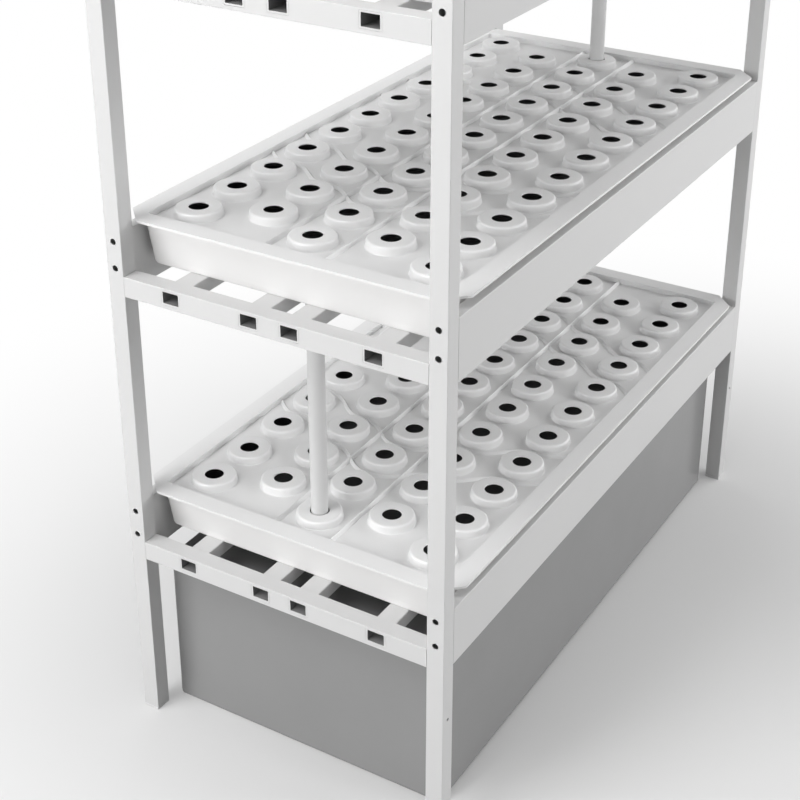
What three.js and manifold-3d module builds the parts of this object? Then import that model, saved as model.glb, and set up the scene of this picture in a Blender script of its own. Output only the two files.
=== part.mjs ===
// A hydroponic growing rack: tiers of shallow trays with moulded planting covers, on a bolted frame of
// square posts, over a floor-standing nutrient tank.
// Millimetres, +Z up. X runs along the rack, Y across it, and the origin is on the floor below its centre.

import * as THREE from 'three';
import { mergeVertices } from 'three/addons/utils/BufferGeometryUtils.js';
import Module from 'manifold-3d';

const wasm = await Module();
wasm.setup();

// Rack
const rackLength = 1240;
const rackWidth = 600;
const rackHeight = 1440;
const tierCount = 3;
const firstTierHeight = 352; // floor to the top of the lowest end rails
const topTierDrop = 116; // from the posts' tops down to the top of the highest end rails

// Clearances
const buttGap = 0.3; // between the end of a rail and the post that it meets
const seatGap = 0.3; // between a piece and what it stands on
const slipFit = 0.3; // each side of a piece in an opening
const overrun = 1; // a cutting tool past the faces that it cuts, or a joined piece into its carrier

// Posts: square tubes with a welded top
const postSide = 30;
const postWall = 2;
const footHoleDiameter = 5.5;
const footHoleHeight = 220;

// Foot caps: a moulded sole with a plug that fits up the post
const footSoleThickness = 4;
const footSoleEdge = 1.5;
const footPlugLength = 22;
const footCornerSteps = 1;

// End rails: box sections between two posts, as deep as the posts
const endRailHeight = 34;
const endRailWall = 1.5;

// Side rails: deep box sections between the posts, flush with their outer faces
const sideRailThickness = 20;
const sideRailHeight = 102;
const sideRailWall = 1.5;
const sideRailRise = 66; // its top edge above the tier's end rails

// Side rail fixings: a plug in each rail end, held by two bolts from inside the post
const plugDepth = 25;
const boltDiameter = 6;
const boltHeadDiameter = 10;
const boltHeadHeight = 4;
const lowerBoltHeight = 47; // above the side rail's lower edge
const upperBoltHeight = 91.5;
const accessHoleDiameter = 10.5;

// Bearers: rectangular tubes that run through the end rails and carry the tray
const bearerWidth = 35;
const bearerHeight = 25;
const bearerWall = 3;
const bearerEdgeRadius = 3;
const bearerDrop = 2.5; // its top below the top of the end rails
const outerBearerInset = 90; // its middle, from the plane of the posts' inner faces

// Planting cover: one moulded sheet with a lip, a recessed plate, bosses and ribs
const coverSheet = 3;
const coverPostGap = 7; // between its end and the posts
const coverSideInset = 3; // behind the outer faces of the side rails
const coverCornerRadius = 20;
const lipEndWidth = 21.5;
const lipSideWidth = 28.5;
const lipInnerRadius = 23;
const skirtHeight = 12;
const plateDepth = 13; // below the lip
const holeDiameter = 32;
const holePitch = 100; // along a row
const rowPitch = 106;
const holeMargin = 50; // least distance from a hole's centre to the plate's edge
const bossDiameter = 76;
const bossFlare = 4; // each side, down its height
const longRibWidth = 6.5;
const longRibHeight = 4.5;
const crossRibWidth = 5;
const crossRibHeight = 4;
const crossRibCount = 2; // at each end

// Tray: a moulded trough that hangs its flange under the cover's lip
const trayHeight = 87;
const trayWall = 3;
const trayEndSlope = 18.5; // how far an end wall leans in, from its upright shoulder down to the floor
const traySideSlope = 5.5;
const trayFloorRadius = 20; // vertical corners at the floor
const trayEdgeRadius = 12; // where the walls turn into the floor
const coverFit = 1; // between the cover and the tray, all round

// Drop pipes: one stands in each tray, passes between the middle bearers and ends over the tier below
const pipeHoleGap = 2; // each side, in a planting hole
const pipeWall = 2;
const pipeBearerGap = 4.5;
const pipeEndRise = 40; // its lower end above the end rails of the tier below
const collarWidth = 8;
const collarThickness = 3;
const waterDepth = 44; // standpipe top above the tray floor

// Feed inlet: the fitting in the top tray's floor
const feedDiameter = 20;
const feedBore = 11;
const feedHeight = 60; // above the tray floor
const feedNeck = 10; // below the tray
const feedBearerGap = 4.5;
const barbDiameter = 18;
const barbRoot = 15;
const barbTooth = 10;
const barbTeeth = 2;

// Tank, its lid and the pump that stands in it
const tankEndGap = 28; // to the plane of the posts' inner faces
const tankSideGap = 8;
const tankWall = 4;
const tankFloor = 5;
const tankCornerRadius = 25;
const tankEdgeRadius = 15;
const lidThickness = 6;
const lidRailGap = 24; // lid to the lowest end rails
const lidRimDepth = 8;
const lidRimWidth = 4;
const lidRimFit = 1;
const drainHoleGap = 6; // each side of the drop pipe's width
const hoseHoleDiameter = 30;
const pumpLength = 70;
const pumpWidth = 50;
const pumpHeight = 60;
const pumpCornerRadius = 10;
const pumpEdge = 4;
const pumpSpoutHeight = 10;
const pumpWallGap = 57; // to the tank's back wall
const pumpDrainOffset = 60; // along the rack, from the drain hole
const pumpSlotCount = 4;
const pumpSlotWidth = 4;
const pumpSlotHeight = 30;
const pumpSlotDepth = 2;

// Facets
const cornerSteps = 3;
const edgeSteps = 2;
const bearerEdgeSteps = 1;
const boltSides = 6;
const holeSides = 6;
const bossSides = 8;
const pipeSides = 10;

// Sizes that follow from those above
const ends = { left: -1, right: 1 };
const sides = { front: -1, back: 1 };
const postCentreX = (rackLength - postSide) / 2;
const postCentreY = (rackWidth - postSide) / 2;
const betweenPostsX = rackLength - 2 * postSide;
const betweenPostsY = rackWidth - 2 * postSide;
const tierPitch = (rackHeight - topTierDrop - firstTierHeight) / (tierCount - 1);
const sideRailLength = betweenPostsX - 2 * buttGap;
const sideRailDrop = sideRailHeight - sideRailRise; // its lower edge below the end rails' tops
const boltHeights = [lowerBoltHeight, upperBoltHeight];
const coverHalfLength = betweenPostsX / 2 - coverPostGap;
const coverHalfWidth = rackWidth / 2 - coverSideInset;
const plateHalfLength = coverHalfLength - lipEndWidth;
const plateHalfWidth = coverHalfWidth - lipSideWidth;
const rowsEachSide = Math.floor((plateHalfWidth - holeMargin) / rowPitch);
const holesEachSide = Math.floor((plateHalfLength - holeMargin) / holePitch);
const endHoleX = holesEachSide * holePitch;
const pipeDiameter = holeDiameter - 2 * pipeHoleGap;
const middleBearerOffset = (pipeDiameter + bearerWidth) / 2 + pipeBearerGap;
const outerBearerOffset = betweenPostsY / 2 - outerBearerInset;
const bearerOffsets = [-outerBearerOffset, -middleBearerOffset, middleBearerOffset, outerBearerOffset];
const feedY = outerBearerOffset + (bearerWidth + feedDiameter) / 2 + feedBearerGap;
const trayRest = seatGap - bearerDrop; // tray underside, from the end rails' tops
const tankHalfLength = betweenPostsX / 2 - tankEndGap;
const tankHalfWidth = betweenPostsY / 2 - tankSideGap;
const lidTop = firstTierHeight - endRailHeight - lidRailGap;
const tankHeight = lidTop - lidThickness - seatGap;
const pumpX = endHoleX - pumpDrainOffset;
const pumpY = tankHalfWidth - tankWall - pumpWallGap - pumpWidth / 2;

const tierHeight = (tier) => firstTierHeight + (tier - 1) * tierPitch;

// Water leaves alternate ends of the rack, so that it runs the length of every tray.
const drainX = (tier) => (tier % 2 === 1 ? endHoleX : -endHoleX);

const materials = {
  frame: new THREE.MeshStandardMaterial({ color: '#dededc', roughness: 0.55, metalness: 0.1 }),
  plastic: new THREE.MeshStandardMaterial({ color: '#ececea', roughness: 0.5, metalness: 0 }),
  tank: new THREE.MeshStandardMaterial({ color: '#8f8f90', roughness: 0.6, metalness: 0 }),
  steel: new THREE.MeshStandardMaterial({ color: '#9a9c9e', roughness: 0.35, metalness: 1 }),
  pump: new THREE.MeshStandardMaterial({ color: '#2b2d30', roughness: 0.6, metalness: 0 }),
};

// Working with geometry

function toSolid(geometry) {
  const bare = geometry.clone();
  bare.deleteAttribute('normal');
  bare.deleteAttribute('uv');
  const merged = mergeVertices(bare);
  return new wasm.Manifold(new wasm.Mesh({
    numProp: 3,
    vertProperties: merged.attributes.position.array,
    triVerts: Uint32Array.from(merged.index.array),
  }));
}

function toGeometry(solid) {
  const mesh = solid.getMesh();
  const geometry = new THREE.BufferGeometry();
  geometry.setAttribute('position', new THREE.BufferAttribute(mesh.vertProperties, 3));
  geometry.setIndex(new THREE.BufferAttribute(mesh.triVerts, 1));
  geometry.computeVertexNormals();
  return geometry;
}

function joined(geometries) {
  const solids = geometries.map(toSolid);
  return toGeometry(solids.reduce((whole, piece) => whole.add(piece)));
}

function cut(geometry, tools) {
  const solids = tools.map(toSolid);
  return toGeometry(solids.reduce((rest, tool) => rest.subtract(tool), toSolid(geometry)));
}

// A section, drawn across and up, extruded along X and centred there.
const alongX = new THREE.Matrix4().makeBasis(
  new THREE.Vector3(0, 1, 0),
  new THREE.Vector3(0, 0, 1),
  new THREE.Vector3(1, 0, 0),
);

// The same along Y.
const alongY = new THREE.Matrix4().makeBasis(
  new THREE.Vector3(1, 0, 0),
  new THREE.Vector3(0, 0, 1),
  new THREE.Vector3(0, -1, 0),
);

function extrude(section, length, direction) {
  const settings = { depth: length, bevelEnabled: false, curveSegments: bearerEdgeSteps };
  const geometry = new THREE.ExtrudeGeometry(section, settings);
  return geometry.translate(0, 0, -length / 2).applyMatrix4(direction);
}

function rectangle(width, height) {
  return [
    new THREE.Vector2(-width / 2, -height / 2),
    new THREE.Vector2(width / 2, -height / 2),
    new THREE.Vector2(width / 2, height / 2),
    new THREE.Vector2(-width / 2, height / 2),
  ];
}

function boxSection(width, height, wall) {
  const section = new THREE.Shape(rectangle(width, height));
  section.holes.push(new THREE.Path(rectangle(width - 2 * wall, height - 2 * wall)));
  return section;
}

// A round bar along Z, centred, with its corners on the circle.
function bar(diameter, length, facets) {
  const geometry = new THREE.CylinderGeometry(diameter / 2, diameter / 2, length, facets);
  return geometry.rotateX(Math.PI / 2);
}

// A tool for a round hole along Z. Its flats touch the circle, so a round piece of that size passes.
function borer(diameter, length, facets) {
  return bar(diameter / Math.cos(Math.PI / facets), length, facets);
}

// A turned piece round Z, from a closed profile of [radius, height] points that rises on its outside.
function turned(profile, facets) {
  const points = [...profile, profile[0]].map(([radius, height]) => new THREE.Vector2(radius, height));
  return new THREE.LatheGeometry(points, facets).rotateX(Math.PI / 2);
}

// The points of a rectangle with rounded corners, counter-clockwise from above.
function roundedRing(halfX, halfY, radius, z, steps = cornerSteps) {
  const cornerSigns = [[1, 1], [-1, 1], [-1, -1], [1, -1]];
  return cornerSigns.flatMap(([signX, signY], corner) => {
    const points = [];
    for (let step = 0; step <= steps; step += 1) {
      const angle = (corner + step / steps) * Math.PI / 2;
      const x = signX * (halfX - radius) + radius * Math.cos(angle);
      const y = signY * (halfY - radius) + radius * Math.sin(angle);
      points.push(new THREE.Vector3(x, y, z));
    }
    return points;
  });
}

// Rings that keep to one outline, moved in by an inset.
function outline(halfX, halfY, radius) {
  return (inset, z) => roundedRing(halfX - inset, halfY - inset, radius - inset, z);
}

// A closed body through a stack of rings with as many points each. The first and last are filled, so a
// stack that rises up the outside and comes down the inside makes a trough.
function loft(rings) {
  const count = rings[0].length;
  const indices = [];
  for (let ring = 0; ring < rings.length - 1; ring += 1) {
    for (let side = 0; side < count; side += 1) {
      const here = ring * count + side;
      const next = ring * count + (side + 1) % count;
      indices.push(here, next, next + count);
      indices.push(here, next + count, here + count);
    }
  }
  const last = (rings.length - 1) * count;
  for (let side = 1; side < count - 1; side += 1) {
    indices.push(0, side + 1, side);
    indices.push(last, last + side, last + side + 1);
  }
  const positions = rings.flat().flatMap((point) => point.toArray());
  const geometry = new THREE.BufferGeometry();
  geometry.setAttribute('position', new THREE.Float32BufferAttribute(positions, 3));
  geometry.setIndex(indices);
  geometry.computeVertexNormals();
  return geometry;
}

// The rings of a rounded lower edge of an outline, from its flat underside up to its wall.
function lowerEdge(ring, inset, radius, floor) {
  const rings = [];
  for (let step = 0; step <= edgeSteps; step += 1) {
    const angle = (step / edgeSteps) * Math.PI / 2;
    const further = radius * (1 - Math.sin(angle));
    const rise = radius * (1 - Math.cos(angle));
    rings.push(ring(inset + further, floor + rise));
  }
  return rings;
}

// Frame

function post(endSign, sideSign) {
  const floorDrop = footSoleThickness + seatGap;
  const height = rackHeight - floorDrop;
  const boreSide = postSide - 2 * postWall;
  const hollow = new THREE.BoxGeometry(boreSide, boreSide, height - postWall + overrun);
  const tools = [hollow.translate(0, 0, (height - postWall - overrun) / 2)];

  const wallCut = postWall + 2 * overrun;
  const wallX = endSign * (postSide - postWall) / 2;
  const wallY = sideSign * (postSide - postWall) / 2;
  for (let tier = 1; tier <= tierCount; tier += 1) {
    for (const boltHeight of boltHeights) {
      const z = tierHeight(tier) - sideRailDrop + boltHeight - floorDrop;
      const access = borer(accessHoleDiameter, wallCut, boltSides).rotateY(Math.PI / 2);
      const shank = borer(boltDiameter + 2 * slipFit, wallCut, boltSides).rotateY(Math.PI / 2);
      tools.push(access.translate(wallX, 0, z), shank.translate(-wallX, 0, z));
    }
  }
  const footHole = borer(footHoleDiameter, wallCut, boltSides).rotateX(Math.PI / 2);
  tools.push(footHole.translate(0, wallY, footHoleHeight - floorDrop));

  const blank = new THREE.BoxGeometry(postSide, postSide, height).translate(0, 0, height / 2);
  return cut(blank, tools);
}

function footCap() {
  const square = (half, z) => roundedRing(half, half, footSoleEdge, z, footCornerSteps);
  const sole = postSide / 2;
  const plug = sole - postWall - slipFit;
  return loft([
    square(sole - footSoleEdge, 0),
    square(sole, footSoleEdge),
    square(sole, footSoleThickness),
    square(plug, footSoleThickness),
    square(plug, footSoleThickness + footPlugLength),
  ]);
}

// The middle of a bearer below the top of its end rails.
const bearerCentreDrop = bearerDrop + bearerHeight / 2;

function endRail() {
  const windows = bearerOffsets.map((y) => {
    const width = bearerWidth + 2 * slipFit;
    const height = bearerHeight + 2 * slipFit;
    const tool = new THREE.BoxGeometry(postSide + 2 * overrun, width, height);
    return tool.translate(0, y, endRailHeight / 2 - bearerCentreDrop);
  });
  const section = boxSection(postSide, endRailHeight, endRailWall);
  return cut(extrude(section, betweenPostsY - 2 * buttGap, alongY), windows);
}

function sideRail() {
  return extrude(boxSection(sideRailThickness, sideRailHeight, sideRailWall), sideRailLength, alongX);
}

function bearer() {
  const halfWidth = bearerWidth / 2;
  const halfHeight = bearerHeight / 2;
  const arcX = halfWidth - bearerEdgeRadius;
  const arcY = halfHeight - bearerEdgeRadius;
  const section = new THREE.Shape();
  section.moveTo(-halfWidth, -halfHeight);
  section.lineTo(halfWidth, -halfHeight);
  section.absarc(arcX, arcY, bearerEdgeRadius, 0, Math.PI / 2);
  section.absarc(-arcX, arcY, bearerEdgeRadius, Math.PI / 2, Math.PI);
  const bore = rectangle(bearerWidth - 2 * bearerWall, bearerHeight - 2 * bearerWall);
  section.holes.push(new THREE.Path(bore));
  return extrude(section, rackLength, alongX);
}

// A plug and its two bolts, for a rail end that faces +X. Its origin is the end of the rail, at mid height.
function railFixing(boltOffset) {
  const across = sideRailThickness - 2 * sideRailWall - 2 * slipFit;
  const up = sideRailHeight - 2 * sideRailWall - 2 * slipFit;
  const pieces = [new THREE.BoxGeometry(plugDepth, across, up).translate(-plugDepth / 2, 0, 0)];
  const grip = buttGap + postWall + seatGap;
  for (const boltHeight of boltHeights) {
    const z = boltHeight - sideRailHeight / 2;
    const shank = bar(boltDiameter, grip + 2 * overrun, boltSides).rotateY(Math.PI / 2);
    const head = bar(boltHeadDiameter, boltHeadHeight, boltSides).rotateY(Math.PI / 2);
    pieces.push(shank.translate(grip / 2, boltOffset, z));
    pieces.push(head.translate(grip + boltHeadHeight / 2, boltOffset, z));
  }
  return joined(pieces);
}

// Growing tiers

// The centres of the planting holes: rows along X, with every other row moved by half a pitch.
function plantingHoles() {
  const centres = [];
  for (let row = -rowsEachSide; row <= rowsEachSide; row += 1) {
    const shift = row % 2 === 0 ? 0 : holePitch / 2;
    const reach = plateHalfLength - holeMargin;
    const first = Math.ceil((-reach - shift) / holePitch);
    for (let index = first; index * holePitch + shift <= reach; index += 1) {
      centres.push([index * holePitch + shift, row * rowPitch]);
    }
  }
  return centres;
}

function boss() {
  const top = bossDiameter / 2;
  const base = top + bossFlare;
  const plate = -plateDepth;
  const root = plate - overrun;
  return turned([[0, root], [base, root], [base, plate], [top, 0], [0, 0]], bossSides);
}

function longRib(y) {
  const length = 2 * (plateHalfLength + overrun);
  const rib = new THREE.BoxGeometry(length, longRibWidth, longRibHeight + overrun);
  return rib.translate(0, y, (longRibHeight - overrun) / 2 - plateDepth);
}

// A V-shaped rib between the bosses, which moves by half a pitch from row to row.
function crossRib(endSign, index) {
  const slope = holePitch / 2 / rowPitch;
  const halfWidth = crossRibWidth / 2 * Math.hypot(1, slope);
  const apex = endHoleX - (index + 1 + 1 / 2) * holePitch;
  const reach = plateHalfWidth + overrun;
  const tail = apex - slope * reach;
  const corners = [
    [apex + halfWidth, 0],
    [tail + halfWidth, reach],
    [tail - halfWidth, reach],
    [apex - halfWidth, 0],
    [tail - halfWidth, -reach],
    [tail + halfWidth, -reach],
  ];
  const section = new THREE.Shape(corners.map(([x, y]) => new THREE.Vector2(x, y)));
  const settings = { depth: crossRibHeight + overrun, bevelEnabled: false };
  const rib = new THREE.ExtrudeGeometry(section, settings);
  rib.translate(0, 0, -plateDepth - overrun);
  return endSign < 0 ? rib.rotateZ(Math.PI) : rib;
}

// The cover's origin is at the centre of its lip's top.
function plantingCover() {
  const rim = outline(coverHalfLength, coverHalfWidth, coverCornerRadius);
  const recess = outline(plateHalfLength, plateHalfWidth, lipInnerRadius);
  const sheet = loft([
    recess(-coverSheet, -plateDepth - coverSheet),
    recess(-coverSheet, -coverSheet),
    rim(coverSheet, -coverSheet),
    rim(coverSheet, -skirtHeight),
    rim(0, -skirtHeight),
    rim(0, 0),
    recess(0, 0),
    recess(0, -plateDepth),
  ]);
  const raised = [sheet, longRib(-rowPitch / 2), longRib(rowPitch / 2)];
  for (let index = 0; index < crossRibCount; index += 1) {
    raised.push(crossRib(-1, index), crossRib(1, index));
  }
  const centres = plantingHoles();
  raised.push(...centres.map(([x, y]) => boss().translate(x, y, 0)));
  const depth = plateDepth + coverSheet;
  const holes = centres.map(([x, y]) => {
    const hole = borer(holeDiameter, depth + 2 * overrun, holeSides);
    return hole.translate(x, y, -depth / 2);
  });
  return cut(joined(raised), holes);
}

// The tray's origin is at the centre of its underside. Each hole in its floor is [x, y, diameter].
function tray(floorHoles) {
  const outset = coverSheet + coverFit + trayWall;
  const topX = plateHalfLength + outset;
  const topY = plateHalfWidth + outset;
  const top = outline(topX, topY, lipInnerRadius + outset);
  const floor = outline(topX - trayEndSlope, topY - traySideSlope, trayFloorRadius);
  const flange = outline(coverHalfLength, coverHalfWidth, coverCornerRadius);
  const flangeInset = coverSheet + coverFit;
  const shoulder = trayHeight - plateDepth - coverFit;
  const inside = lowerEdge(floor, trayWall, trayEdgeRadius - trayWall, trayWall);
  const trough = loft([
    ...lowerEdge(floor, 0, trayEdgeRadius, 0),
    top(0, shoulder),
    top(0, trayHeight - trayWall),
    flange(flangeInset, trayHeight - trayWall),
    flange(flangeInset, trayHeight),
    top(trayWall, trayHeight),
    top(trayWall, shoulder),
    ...inside.reverse(),
  ]);
  const tools = floorHoles.map(([x, y, diameter]) => {
    const tool = borer(diameter + 2 * slipFit, trayWall + 2 * overrun, pipeSides);
    return tool.translate(x, y, trayWall / 2);
  });
  return cut(trough, tools);
}

// Plumbing. The origin of a fitting is on its axis, at the tray floor's upper face.

function dropPipe(lowerEnd) {
  const outer = pipeDiameter / 2;
  const inner = outer - pipeWall;
  const collar = outer + collarWidth;
  return turned([
    [inner, lowerEnd],
    [outer, lowerEnd],
    [outer, seatGap],
    [collar, seatGap],
    [collar, seatGap + collarThickness],
    [outer, seatGap + collarThickness],
    [outer, waterDepth],
    [inner, waterDepth],
  ], pipeSides);
}

// A hose barb's teeth down from a height, as [radius, height] points in rising order.
function barb(top) {
  const points = [];
  for (let tooth = barbTeeth; tooth > 0; tooth -= 1) {
    points.push([barbRoot / 2, top - tooth * barbTooth]);
    points.push([barbDiameter / 2, top - (tooth - 1 / 2) * barbTooth]);
  }
  return points;
}

function feedInlet() {
  const outer = feedDiameter / 2;
  const inner = feedBore / 2;
  const collar = outer + collarWidth;
  const neck = -trayWall - feedNeck;
  return turned([
    [inner, neck - barbTeeth * barbTooth],
    ...barb(neck),
    [barbRoot / 2, neck],
    [outer, neck],
    [outer, seatGap],
    [collar, seatGap],
    [collar, seatGap + collarThickness],
    [outer, seatGap + collarThickness],
    [outer, feedHeight],
    [inner, feedHeight],
  ], pipeSides);
}

// Tank, with its origin on the floor

function tank() {
  const wall = outline(tankHalfLength, tankHalfWidth, tankCornerRadius);
  const inside = lowerEdge(wall, tankWall, tankEdgeRadius - tankWall, tankFloor);
  return loft([
    ...lowerEdge(wall, 0, tankEdgeRadius, 0),
    wall(0, tankHeight),
    wall(tankWall, tankHeight),
    ...inside.reverse(),
  ]);
}

// The lid's origin is at the centre of its underside, where it meets the tank's rim.
function tankLid() {
  const inset = tankWall + lidRimFit;
  const inner = inset + lidRimWidth;
  const edge = outline(tankHalfLength, tankHalfWidth, tankCornerRadius);
  const plate = loft([
    edge(inner, 0),
    edge(inner, -lidRimDepth),
    edge(inset, -lidRimDepth),
    edge(inset, 0),
    edge(0, 0),
    edge(0, lidThickness),
  ]);
  const depth = lidThickness + 2 * overrun;
  const drainHole = borer(pipeDiameter + 2 * drainHoleGap, depth, pipeSides);
  const hoseHole = borer(hoseHoleDiameter, depth, pipeSides);
  return cut(plate, [
    drainHole.translate(endHoleX, 0, lidThickness / 2),
    hoseHole.translate(pumpX, pumpY, lidThickness / 2),
  ]);
}

function pump() {
  const wall = outline(pumpLength / 2, pumpWidth / 2, pumpCornerRadius);
  const body = loft([
    wall(0, 0),
    wall(0, pumpHeight - pumpEdge),
    wall(pumpEdge, pumpHeight),
  ]);
  const shoulder = pumpHeight + pumpSpoutHeight;
  const top = shoulder + barbTeeth * barbTooth;
  const spout = turned([
    [0, pumpHeight - overrun],
    [barbDiameter / 2, pumpHeight - overrun],
    [barbDiameter / 2, shoulder],
    [barbRoot / 2, shoulder],
    ...barb(top).slice(1),
    [barbRoot / 2, top],
    [0, top],
  ], pipeSides);
  const slots = [];
  for (let slot = 0; slot < pumpSlotCount; slot += 1) {
    const x = (slot - (pumpSlotCount - 1) / 2) * 2 * pumpSlotWidth;
    const tool = new THREE.BoxGeometry(pumpSlotWidth, pumpSlotDepth + overrun, pumpSlotHeight);
    slots.push(tool.translate(x, (pumpSlotDepth - overrun - pumpWidth) / 2, pumpHeight / 2));
  }
  return cut(joined([body, spout]), slots);
}

// Assembly

const rack = new THREE.Group();

function place(name, geometry, material, position, turn = 0) {
  const mesh = new THREE.Mesh(geometry, material);
  mesh.name = name;
  mesh.position.set(...position);
  mesh.rotation.z = turn;
  rack.add(mesh);
}

const footGeometry = footCap();
for (const [end, endSign] of Object.entries(ends)) {
  for (const [side, sideSign] of Object.entries(sides)) {
    const x = endSign * postCentreX;
    const y = sideSign * postCentreY;
    place(`foot_cap_${end}_${side}`, footGeometry, materials.plastic, [x, y, 0]);
    const postGeometry = post(endSign, sideSign);
    place(`post_${end}_${side}`, postGeometry, materials.frame, [x, y, footSoleThickness + seatGap]);
  }
}

const endRailGeometry = endRail();
const sideRailGeometry = sideRail();
const bearerGeometry = bearer();
const sideRailY = (rackWidth - sideRailThickness) / 2;
const fixingGeometries = {
  inward: railFixing(postCentreY - sideRailY),
  outward: railFixing(sideRailY - postCentreY),
};

function placeTierFrame(tier) {
  const top = tierHeight(tier);
  for (const [end, endSign] of Object.entries(ends)) {
    const position = [endSign * postCentreX, 0, top - endRailHeight / 2];
    place(`end_rail_${tier}_${end}`, endRailGeometry, materials.frame, position);
  }
  const railZ = top + sideRailRise - sideRailHeight / 2;
  for (const [side, sideSign] of Object.entries(sides)) {
    place(`side_rail_${tier}_${side}`, sideRailGeometry, materials.frame, [0, sideSign * sideRailY, railZ]);
    for (const [end, endSign] of Object.entries(ends)) {
      const geometry = endSign === sideSign ? fixingGeometries.inward : fixingGeometries.outward;
      const turn = endSign < 0 ? Math.PI : 0;
      const position = [endSign * sideRailLength / 2, sideSign * sideRailY, railZ];
      place(`rail_fixing_${tier}_${end}_${side}`, geometry, materials.steel, position, turn);
    }
  }
  bearerOffsets.forEach((y, index) => {
    place(`bearer_${tier}_${index + 1}`, bearerGeometry, materials.frame, [0, y, top - bearerCentreDrop]);
  });
}

const coverGeometry = plantingCover();

function placeTierTray(tier) {
  const isTop = tier === tierCount;
  const floorHoles = [[drainX(tier), 0, pipeDiameter]];
  if (isTop) {
    floorHoles.push([endHoleX, feedY, feedDiameter]);
  }
  const underside = tierHeight(tier) + trayRest;
  const floorTop = underside + trayWall;
  const lipTop = underside + trayHeight + seatGap + coverSheet;
  place(`tray_${tier}`, tray(floorHoles), materials.plastic, [0, 0, underside]);
  place(`planting_cover_${tier}`, coverGeometry, materials.plastic, [0, 0, lipTop]);

  const pipeEnd = tier === 1 ? firstTierHeight - endRailHeight : tierHeight(tier - 1) + pipeEndRise;
  const pipeGeometry = dropPipe(pipeEnd - floorTop);
  place(`drop_pipe_${tier}`, pipeGeometry, materials.plastic, [drainX(tier), 0, floorTop]);
  if (isTop) {
    place('feed_inlet', feedInlet(), materials.plastic, [endHoleX, feedY, floorTop]);
  }
}

for (let tier = 1; tier <= tierCount; tier += 1) {
  placeTierFrame(tier);
  placeTierTray(tier);
}

place('tank', tank(), materials.tank, [0, 0, 0]);
place('tank_lid', tankLid(), materials.tank, [0, 0, tankHeight + seatGap]);
place('pump', pump(), materials.pump, [pumpX, pumpY, tankFloor + seatGap]);

export default rack;
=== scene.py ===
# %% [markdown]
# # A three-tier hydroponic growing rack
#
# The real rack is a bolted frame of square posts. Each tier carries a wide, shallow tray, and on the tray
# lies a moulded cover with round bosses, each with a planting hole. Water runs from tray to tray through
# drop pipes, down into a grey tank on the floor.
#
# This file dresses a finished CAD model of that rack. The CAD model says where everything is and how it
# moves. The pieces made here take over from its plain solids with rounded edges, thin moulded walls and
# finishes, and each one rides on the CAD body that it belongs to.

import math

import bmesh
import bpy
from mathutils import Matrix, Vector


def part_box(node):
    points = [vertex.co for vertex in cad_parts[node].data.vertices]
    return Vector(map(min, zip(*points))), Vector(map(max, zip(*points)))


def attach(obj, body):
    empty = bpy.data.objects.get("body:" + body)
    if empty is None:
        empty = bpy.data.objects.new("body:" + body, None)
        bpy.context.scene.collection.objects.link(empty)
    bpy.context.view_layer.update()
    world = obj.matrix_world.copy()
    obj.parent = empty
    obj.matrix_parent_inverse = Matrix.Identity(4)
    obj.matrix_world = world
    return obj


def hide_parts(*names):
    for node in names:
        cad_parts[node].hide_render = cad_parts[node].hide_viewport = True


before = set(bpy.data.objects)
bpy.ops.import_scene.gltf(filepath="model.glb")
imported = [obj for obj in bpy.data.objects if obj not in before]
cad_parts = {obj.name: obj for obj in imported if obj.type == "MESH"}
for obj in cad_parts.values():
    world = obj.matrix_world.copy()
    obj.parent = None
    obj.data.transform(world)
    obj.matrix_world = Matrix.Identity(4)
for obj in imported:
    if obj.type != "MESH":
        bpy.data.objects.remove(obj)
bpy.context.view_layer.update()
MM = 0.001
TIERS = (1, 2, 3)
LEVELS = {1: "lower", 2: "middle", 3: "upper"}
ENDS = {"left": -1, "right": 1}
SIDES = {"front": -1, "back": 1}

# %% [markdown]
# ## The camera
#
# A camera could be moved by eye until the picture looks right. Here the straight edges of the rack were
# measured in the picture instead, and the place, the angles and the lens follow from them. The lens is
# shifted, because the picture is the lower part of a larger one.

# %% Place the camera
CAMERA_PLACE = (-2.2985, -1.237, 1.887)
LOOKS_DOWN = 25.21
TURNED = -58.95

camera_data = bpy.data.cameras.new("camera")
camera_data.sensor_width = 36
camera_data.lens = 72.16
camera_data.shift_x = -0.002
camera_data.shift_y = -0.158
camera_data.clip_end = 100
camera = bpy.data.objects.new("camera", camera_data)
camera.location = CAMERA_PLACE
camera.rotation_euler = (math.radians(90 - LOOKS_DOWN), 0, math.radians(TURNED))
bpy.context.collection.objects.link(camera)
bpy.context.scene.camera = camera
print("camera at", tuple(camera.location))

# %% [markdown]
# ## Outlines and stacks
#
# Almost every piece of this rack is a rectangle with round corners: a tube's section, a tray's floor, a
# lid's edge. So the first helper draws one such outline. It starts from a grid of a single face, and the
# bevel operator rounds its four corners, which is the same as a vertex bevel in the editor.
#
# The second helper bridges a stack of outlines into a wall. All outlines have as many points, so the
# bridge joins them point to point, as a loft does. It finds its direction from how the outlines lie apart,
# so two outlines at about one height are parted for that moment.
#
# A corner that is cut off straight is a bevel of one step. Its new edge is then divided, so that it has as
# many points as a round corner and can stand in one stack with it.

# %% Outline and stack helpers
CORNER_STEPS = 6
PARTING = 5 * MM
HAIR = 0.01 * MM


def is_slanting(edge):
    run = edge.verts[1].co - edge.verts[0].co
    return min(abs(run.x), abs(run.y)) > HAIR


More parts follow.
